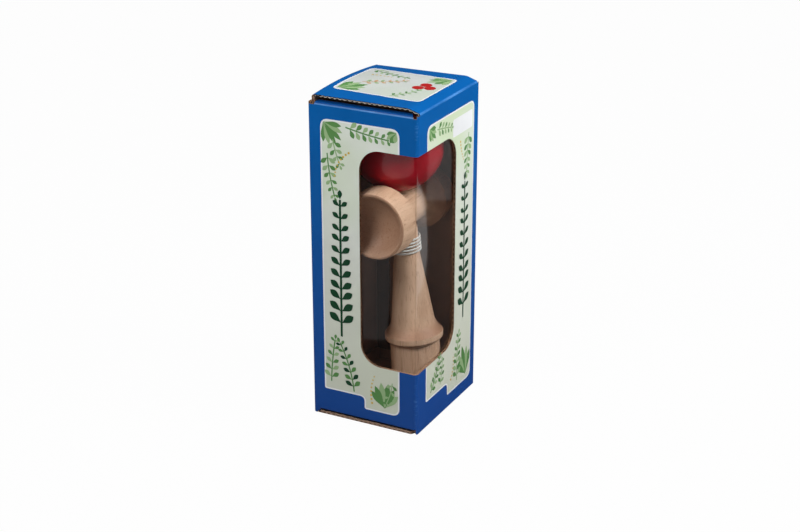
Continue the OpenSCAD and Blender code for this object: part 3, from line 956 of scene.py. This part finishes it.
# Window film
def slack(t, z):
    """How far the film stands in from the board: none where it is glued, waves in the window."""
    low, high = window_heights(t)
    inside = min(t - WINDOW_T[0], WINDOW_T[1] - t, z - low, high - z)
    if inside <= 0:
        return 0.0
    rise = min(1.0, inside / SLACK_EDGE) ** 2
    fold = min(1.0, abs(t - FOLDS[1]) / SLACK_FOLD) ** 2
    waves = [height * sin(t / along + z / up + start) for height, along, up, start in SLACK_WAVES]
    return rise * fold * sum(waves)


def make_film():
    build = Build()
    low, high = WINDOW_T[0] - FILM_LAP, WINDOW_T[1] + FILM_LAP
    z_low, z_high = WINDOW_Z[0] - FILM_LAP, WINDOW_Z[1] + FILM_LAP
    folds = [t for t in sleeve.at if low < t < high]
    stops = sorted({low, high, *evenly(low, high, FILM_COLUMNS), *folds})

    def place(t, z, depth):
        return sleeve_place(t, z, BOARD + depth + slack(t, z))

    heights = evenly(z_low, z_high, FILM_ROWS)
    cells = [[(a, c), (b, c), (b, d), (a, d)]
             for a, b in zip(stops, stops[1:]) for c, d in zip(heights, heights[1:])]
    add_sheet(build, cells, place, FILM_GAP, FILM_T, (0, 0, 0))
    piece = build.make("film_sheet", [clear_film])
    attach(piece, "carton")
    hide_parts("window_film")


# Print
def rounded(corners, r):
    """Outline through the given corners in turn, each rounded by its own radius."""
    outline = []
    for i, corner in enumerate(corners):
        p, a, b = Vector(corner), Vector(corners[i - 1]), Vector(corners[(i + 1) % len(corners)])
        outline += bend_points(p + (a - p).normalized() * r[i], p, p + (b - p).normalized() * r[i])
    return outline


def field(left, low, right, high, r):
    """Outline of a field with round corners."""
    return rounded([(left, low), (right, low), (right, high), (left, high)], [r] * 4)


def drop(u, v, length, width, turn):
    """Outline of a drop that swells from a point towards its round end."""
    shares = evenly(0, 1, CORNER_STEPS)
    c, s = cos(turn), sin(turn)
    outline = []
    for side, along in ((1, shares), (-1, shares[-2:0:-1])):
        for k in along:
            half = side * width / 2 * sin(pi * k**1.5)
            outline.append((u + k * length * c - half * s, v + k * length * s + half * c))
    return outline


def disc(u, v, r, count):
    return [(u + r * cos(a), v + r * sin(a)) for a in evenly(0, 2 * pi, count)[:-1]]


def walk(u, v, turn, length, bend, count):
    """Places and headings along a line that bends evenly, from its start to its end."""
    a = radians(turn)
    points = []
    for i in range(count + 1):
        points.append((u, v, a))
        u += length / count * cos(a)
        v += length / count * sin(a)
        a += radians(bend) / count
    return points


class Print:
    """Flat printed shapes on a board, each a hair above the one below it. Angles are in degrees."""

    def __init__(self, place):
        self.place = place
        self.build = Build()
        self.lift = MOTIF_LIFT

    def point(self, u, v, lift):
        return self.build.point(self.place(u, v, -lift))

    def fill(self, outline, colour, lift):
        self.build.face([self.point(u, v, lift) for u, v in outline], INK_NAMES.index(colour))

    def line(self, points, width, colour, lift, closed=False):
        count = len(points)
        sides = []
        for i, (u, v) in enumerate(points):
            a = points[i - 1] if closed or i > 0 else points[i]
            b = points[(i + 1) % count] if closed or i < count - 1 else points[i]
            size = dist(a, b) or 1.0
            n = (-(b[1] - a[1]) / size * width / 2, (b[0] - a[0]) / size * width / 2)
            sides.append([self.point(u + k * n[0], v + k * n[1], lift) for k in (-1, 1)])
        pairs = list(zip(sides, sides[1:]))
        if closed:
            pairs.append((sides[-1], sides[0]))
        for a, b in pairs:
            self.build.face([a[0], b[0], b[1], a[1]], INK_NAMES.index(colour))

    def add(self, outline, colour):
        """Lays one more shape over those before it."""
        self.lift += MOTIF_STEP
        self.fill(outline, colour, self.lift)

    def fan(self, u, v, length, width, turn, spread, count, colours):
        """Drops that spread from one point."""
        for i in range(count):
            k = i / (count - 1) - 0.5
            a = radians(turn + spread * k)
            self.add(drop(u, v, length * (1 - FAN_SHRINK * abs(k)), width, a), colours[i % len(colours)])

    def stem(self, u, v, turn, length, bend, count, colours, size):
        """A curved stem with pairs of drops along it."""
        points = walk(u, v, turn, length, bend, STEM_STEPS)
        self.lift += MOTIF_STEP
        self.line([(x, y) for x, y, a in points], size * STEM_W, colours[0], self.lift)
        for i in range(count):
            x, y, a = points[round(STEM_STEPS * (FIRST_LEAF + LEAF_RUN * i / (count - 1)))]
            grow = size * (1 - LEAF_SHRINK * i / count)
            for side in (1, -1):
                leaf = drop(x, y, grow, grow * LEAF_W, a + side * LEAF_TURN)
                self.add(leaf, colours[(i + (side > 0)) % len(colours)])
        x, y, a = points[-1]
        self.add(drop(x, y, size * TIP_L, size * TIP_W, a), colours[0])

    def dots(self, u, v, turn, length, bend, count):
        """A bent row of dots that get smaller."""
        for i, (x, y, a) in enumerate(walk(u, v, turn, length, bend, count)[:-1]):
            self.add(disc(x, y, DOT_R * (1 - DOT_SHRINK * i / count), DOT_SIDES), "gold")

    def make(self, name, body):
        piece = self.build.make(name, [ink[key] for key in INK_NAMES], closed=False)
        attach(piece, body)
        return piece


def panel_print(to_t, left, right, low, tab_w, window_u, side):
    """Pale printed panel in a white line, with a blue tab at its foot, cut away at the window.
    side is 1 where the window runs on past the panel's right edge, and -1 past its left."""
    art = Print(lambda u, v, depth: sleeve_place(to_t(u), v, depth))
    tab, shelf, top = left + tab_w, low + TAB_H, PRINT_TOP
    outer = rounded([(right, low), (right, top), (left, top), (left, shelf), (tab, shelf), (tab, low)],
                    [PRINT_R] * 3 + [TAB_TIP_R, TAB_STEP_R, TAB_TIP_R])
    edge = right if side > 0 else left
    first_z, last_z = WINDOW_Z[::-side]
    turns = corner_stops(side * WINDOW_R, CUT_STEPS)
    window = [(window_u + near, first_z - far) for near, far in zip(turns[::-1], turns)]
    window += [(window_u + far, last_z + near) for near, far in zip(turns[::-1], turns)]
    first = next(i for i, (u, v) in enumerate(outer)
                 if side * (v - first_z) > 0 > side * (outer[i - 1][1] - last_z))
    route = [(edge, first_z), *outer[first:], *outer[:first], (edge, last_z)]
    art.fill(route + window[::-1], "mint", GROUND_LIFT)
    art.line(route, LINE_W, "white", LINE_LIFT)
    return art


FRESH = ("leaf", "sage")
SOFT = ("sage", "leaf")


def make_front_print():
    art = panel_print(front_t, left=-28.0, right=25.0, low=11.0, tab_w=29.0, window_u=WINDOW_X, side=1)
    art.fan(-26.5, 198.5, 17, 3.4, -48, 84, 6, ("leaf", "sage", "leaf"))
    art.stem(-11, 197, -12, 30, 8, 7, FRESH, 6.4)
    art.stem(-20, 188, -78, 16, 10, 4, SOFT, 6.0)
    art.fan(23.5, 198.5, 9, 3.0, 228, 64, 4, FRESH)
    art.stem(-24, 179, -86, 28, 12, 6, FRESH, 6.2)
    art.dots(-9, 181, 215, 22, 60, 9)
    art.stem(-23.5, 25, 88, 30, -8, 6, FRESH, 6.4)
    art.stem(-7, 21, 96, 34, 22, 7, ("leaf", "deep"), 6.6)
    art.fan(15, 14, 19, 4.4, 90, 84, 6, ("sage", "leaf", "leaf"))
    art.stem(20.5, 33, -96, 16, -20, 4, SOFT, 4.6)
    art.dots(6, 16, 100, 22, -40, 8)
    art.stem(-15.5, 58, 90, 92, 0, 11, ("deep",), 10.6)
    art.make("front_print", "carton")


def make_side_print():
    art = panel_print(right_t, left=-30.0, right=35.0, low=9.5, tab_w=31.0, window_u=WINDOW_Y, side=-1)
    art.add(field(5, 183.5, 33, 195, 1.5), "white")
    art.fan(-27.5, 198, 11.5, 3.0, -42, 70, 5, FRESH)
    art.stem(-17, 195, -8, 20, -6, 5, SOFT, 5.4)
    art.stem(28, 181, -100, 26, 10, 6, SOFT, 7.0)
    art.dots(16, 178, -80, 16, 30, 7)
    art.fan(28, 13, 23, 4.8, 104, 70, 5, FRESH)
    art.stem(15, 14, 94, 32, -16, 7, SOFT, 7.0)
    art.stem(-24, 21.5, 42, 24, 30, 6, FRESH, 5.6)
    art.stem(-10, 21.5, 70, 16, 20, 4, SOFT, 5.0)
    art.dots(6, 18, 60, 18, 50, 7)
    art.stem(23, 56, 90, 94, 0, 11, ("deep",), 10.0)
    art.make("side_print", "carton")


def lid_top(x, y, depth):
    """A point over the lid's nearly level plate or its sloping strip."""
    slope = LID_CROWN / (RAMP_X - LID_END_X) if x <= RAMP_X else LID_RISE / LID_RAMP
    return (x, y, RAMP_TOP + (RAMP_X - x) * slope - depth)


def make_lid_print():
    art = Print(lid_top)
    outline = field(-30, -25.5, 29.4, 28, 4.0)
    art.fill(outline, "pale", GROUND_LIFT)
    art.line(outline, LINE_W, "white", LINE_LIFT, closed=True)
    art.fan(-28, -23, 20, 4.6, 42, 70, 5, FRESH)
    art.fan(27, 26, 17, 4.2, 225, 76, 5, SOFT)
    art.stem(-27, 24, -24, 28, 16, 6, FRESH, 4.8)
    art.stem(8, -23, 48, 22, 26, 5, SOFT, 4.4)
    art.stem(-20, -6, 24, 27, 22, 6, ("tan", "sage"), 5.2)
    for x, y in BERRIES:
        art.add(disc(x, y, BERRY_R, BERRY_SIDES), "red")
    art.dots(-22, 12, 10, 16, -30, 6)
    bow_lid(art.make("lid_print", "lid"))


# String
def toy_point(x, y, s):
    """A point of the toy's own frame, placed in the carton."""
    c, k = cos(LEAN), sin(LEAN)
    return (TOY_X + x * c - s * k, y, TOY_Z + x * k + s * c)


# The string's route to the winding, up from it, and round the ball in shares of the ball's diameter
TAIL = [(-8.5, 0, 0.2), (-12.5, 0, 0.2), (-15.6, 0, -0.7), (-16.8, -0.4, -3.5),
        (-16.2, -1.6, -6.9), (-14.2, -2.8, -10.3), (-11.8, -2.9, -13.9), (-9.9, -1.2, -16.9)]
RISE = [(-8.5, 5.4, -29.4), (-9.2, 7.2, -28.3), (-10.2, 8.4, -25.9), (-11.4, 8.8, -22.1),
        (-12.8, 8.6, -17.5), (-14.4, 8.2, -11.5), (-15.8, 7.8, -5.5), (-16.8, 7.4, 0.5),
        (-18, 7, 6.5), (-20.2, 6.8, 12.5), (-23, 6.4, 19.1)]
ROUND = [(-0.44, 0.097, -0.265), (-0.493, 0.083, -0.148), (-0.517, 0.073, -0.021), (-0.51, 0.063, 0.102),
         (-0.475, 0.053, 0.219), (-0.413, 0.043, 0.322), (-0.323, 0.033, 0.412), (-0.217, 0.023, 0.479),
         (-0.117, 0.012, 0.515), (-0.053, 0.005, 0.524), (-0.015, 0.002, 0.509), (0, 0, 0.469),
         (0, 0, 0.412), (0, 0, 0.329)]


def curve(points, steps):
    """Smooth curve through a list of points."""
    result = []
    last = len(points) - 1
    for i in range(last):
        a, b = points[max(i - 1, 0)], points[i]
        c, d = points[i + 1], points[min(i + 2, last)]
        for k in range(steps):
            u = k / steps
            result.append(tuple(
                0.5 * (2 * q + (r - p) * u + (2 * p - 5 * q + 4 * r - s) * u * u
                       + (3 * q - p - 3 * r + s) * u**3)
                for p, q, r, s in zip(a, b, c, d)))
    return result + [points[-1]]


def winding_at(turns):
    a = radians(WINDING_START - 360 * turns)
    return (WINDING_R * cos(a), WINDING_R * sin(a), WINDING_TOP - WINDING_PITCH * turns)


def beyond(a, b):
    """A point past a, away from b, by one thickness of the string."""
    return tuple(Vector(a) + (Vector(a) - Vector(b)).normalized() * 2 * STRING_R)


def string_route():
    """The string's middle line, from its anchor in the handle to its knot in the ball."""
    wound = [winding_at(k / WINDING_STEPS) for k in range(WINDING_TURNS * WINDING_STEPS + 1)]
    first, last = beyond(*wound[:2]), beyond(*wound[:-3:-1])
    tail = [(ANCHOR_X - KNOT_HALF, 0, CROSS_S)] + [(x, y, CROSS_S + s) for x, y, s in TAIL] + [first]
    lead = [last] + [(x, y, CROSS_S + s) for x, y, s in RISE]
    lead += [(x * BALL_D, y * BALL_D, BALL_S + s * BALL_D) for x, y, s in ROUND] + [(0, 0, KNOT_TOP)]
    return [toy_point(*p) for p in curve(tail, ROUTE_STEPS) + wound + curve(lead, ROUTE_STEPS)]


def resample(route, step):
    """Points at even steps along a smooth curve through the route."""
    path = Path(curve(route, SMOOTH_STEPS))
    count = round(path.end / step)
    return [Vector(path.between(path.points, t)) for t in evenly(0, path.end, count)]


def add_twisted(build, route, radius, lay, sides):
    """Adds a tube of twisted strands along a route. lay is the length of one full twist."""
    wedge = pi / STRANDS
    strand = radius / (1 + 1 / sin(wedge))
    offset = radius - strand
    normal = None
    rings = []
    along = 0.0
    for i, p in enumerate(route):
        a, b = route[max(i - 1, 0)], route[min(i + 1, len(route) - 1)]
        way = (b - a).normalized()
        if normal is None:
            normal = way.orthogonal().normalized()
        normal = (normal - way * normal.dot(way)).normalized()
        other = way.cross(normal)
        if i:
            along += (p - route[i - 1]).length
        twist = 2 * pi * along / lay
        ring = []
        for k in range(sides):
            angle = 2 * pi * k / sides
            from_strand = (angle - twist + wedge) % (2 * wedge) - wedge
            reach = offset * cos(from_strand)
            reach += sqrt(max(0.0, strand**2 - (offset * sin(from_strand)) ** 2))
            ring.append(build.point(p + (normal * cos(angle) + other * sin(angle)) * reach))
        rings.append(ring)
    for a, b in zip(rings, rings[1:]):
        for k in range(sides):
            m = (k + 1) % sides
            build.face([a[k], a[m], b[m], b[k]], 0, True)
    build.face(rings[0][::-1])
    build.face(rings[-1])


def make_knot(name, node, middle, axis):
    """An overhand knot drawn tight: one closed round of the string through itself."""
    side = axis.orthogonal().normalized()
    other = axis.cross(side)
    route = []
    for a in evenly(0, 2 * pi, KNOT_STEPS):
        out = KNOT_R + KNOT_SWING * cos(3 * a)
        level = side * (out * cos(2 * a)) + other * (out * sin(2 * a))
        route.append(middle + level + axis * (KNOT_RISE * sin(3 * a)))
    build = Build()
    add_twisted(build, route, KNOT_STRING_R, KNOT_LAY, KNOT_SIDES)
    piece = build.make(name, [cotton])
    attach(piece, "toy")
    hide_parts(node)
    return piece


def make_string():
    route = resample(string_route(), STRING_STEP)
    build = Build()
    add_twisted(build, route, STRING_R, STRING_LAY, STRING_SIDES)
    piece = build.make("string", [cotton])
    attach(piece, "toy")
    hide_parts("string_tail", "string_winding", "string_lead")
    up = Vector((-sin(LEAN), 0, cos(LEAN)))
    across = Vector((cos(LEAN), 0, sin(LEAN)))
    knots = [
        make_knot("ball_knot", "bead_knot", Vector(toy_point(0, 0, KNOT_S)), up),
        make_knot("handle_knot", "anchor_knot", Vector(toy_point(ANCHOR_X, 0, CROSS_S)), across),
    ]
    length = sum((b - a).length for a, b in zip(route, route[1:])) * MM


def dress_toy():
    looks = {"handle": handle_wood, "cross_piece": cross_wood, "string_bead": cross_wood,
             "ball": red_lacquer}
    for node, material in looks.items():
        mesh = nodes[node].data
        mesh.materials.clear()
        mesh.materials.append(material)


# Stage
def stand(obj, azimuth, elevation, distance, target):
    """Puts an object in the scene, turned to a target: azimuth 0 is in front of it, 90 on its right."""
    a, e = radians(azimuth), radians(elevation)
    way = Vector((sin(a) * cos(e), -cos(a) * cos(e), sin(e)))
    obj.location = Vector(target) + way * distance
    obj.rotation_euler = (Vector(target) - obj.location).to_track_quat("-Z", "Y").to_euler()
    scene.collection.objects.link(obj)


def make_camera():
    data = bpy.data.cameras.new("camera")
    data.lens = CAMERA_LENS
    data.sensor_width = 36
    data.sensor_fit = "HORIZONTAL"
    data.clip_start = 0.01
    camera = bpy.data.objects.new("camera", data)
    stand(camera, CAMERA_AZIMUTH, CAMERA_ELEVATION, CAMERA_DISTANCE * MM, Vector(CAMERA_TARGET) * MM)
    scene.camera = camera


def make_light(name, azimuth, elevation, distance, size, power, roll=0, shape="RECTANGLE"):
    data = bpy.data.lights.new(name, "AREA")
    data.shape = shape
    data.size, data.size_y = size
    data.energy = power
    light = bpy.data.objects.new(name, data)
    stand(light, azimuth, elevation, distance, LIGHT_TARGET)
    light.rotation_euler.rotate_axis("Z", radians(roll))


def make_floor():
    """A floor that looks white to the camera, keeps a shadow and isn't mirrored in the film."""
    build = Build()
    corners = ((-1, -1), (1, -1), (1, 1), (-1, 1))
    build.face([build.point((x * FLOOR_HALF, y * FLOOR_HALF, 0)) for x, y in corners])
    n = Surface("floor")
    n.paint(n.rise(n.noise(3, 2), 0.3, 0.7, 0.38, 0.42), 0.9, Specular_IOR_Level=0.0)
    glow = n.add("Emission", Color=WHITE, Strength=1.0)
    seen = n.add("LightPath").outputs["Is Camera Ray"]
    n.overlay(n.math("MULTIPLY", seen, FLOOR_GLOW), n.shader, glow)
    floor = build.make("floor", [n.material], closed=False)
    floor.visible_glossy = False


def make_world():
    """A room that is white to the camera, a soft light on the object, and dark in what is glossy."""
    world = bpy.data.worlds.new("studio")
    n = Nodes(world)
    rays = n.add("LightPath").outputs
    seen = n.math("MULTIPLY_ADD", rays["Is Camera Ray"], 1 - ROOM_LIGHT, ROOM_LIGHT)
    dimmed = n.math("MULTIPLY_ADD", rays["Is Glossy Ray"], ROOM_GLOSS - ROOM_LIGHT, seen)
    n.set(n.tree.nodes["Background"], Color=WHITE, Strength=dimmed)
    scene.world = world


make_camera()
make_string()
make_sleeve()
make_lids()
make_tuck_flaps()
make_dust_flaps()
make_glue_flap()
make_film()
make_front_print()
make_side_print()
make_lid_print()
dress_toy()
make_floor()
make_world()
for name, values in LIGHTS.items():
    make_light(name, *values)
scene.view_settings.view_transform = "Standard"
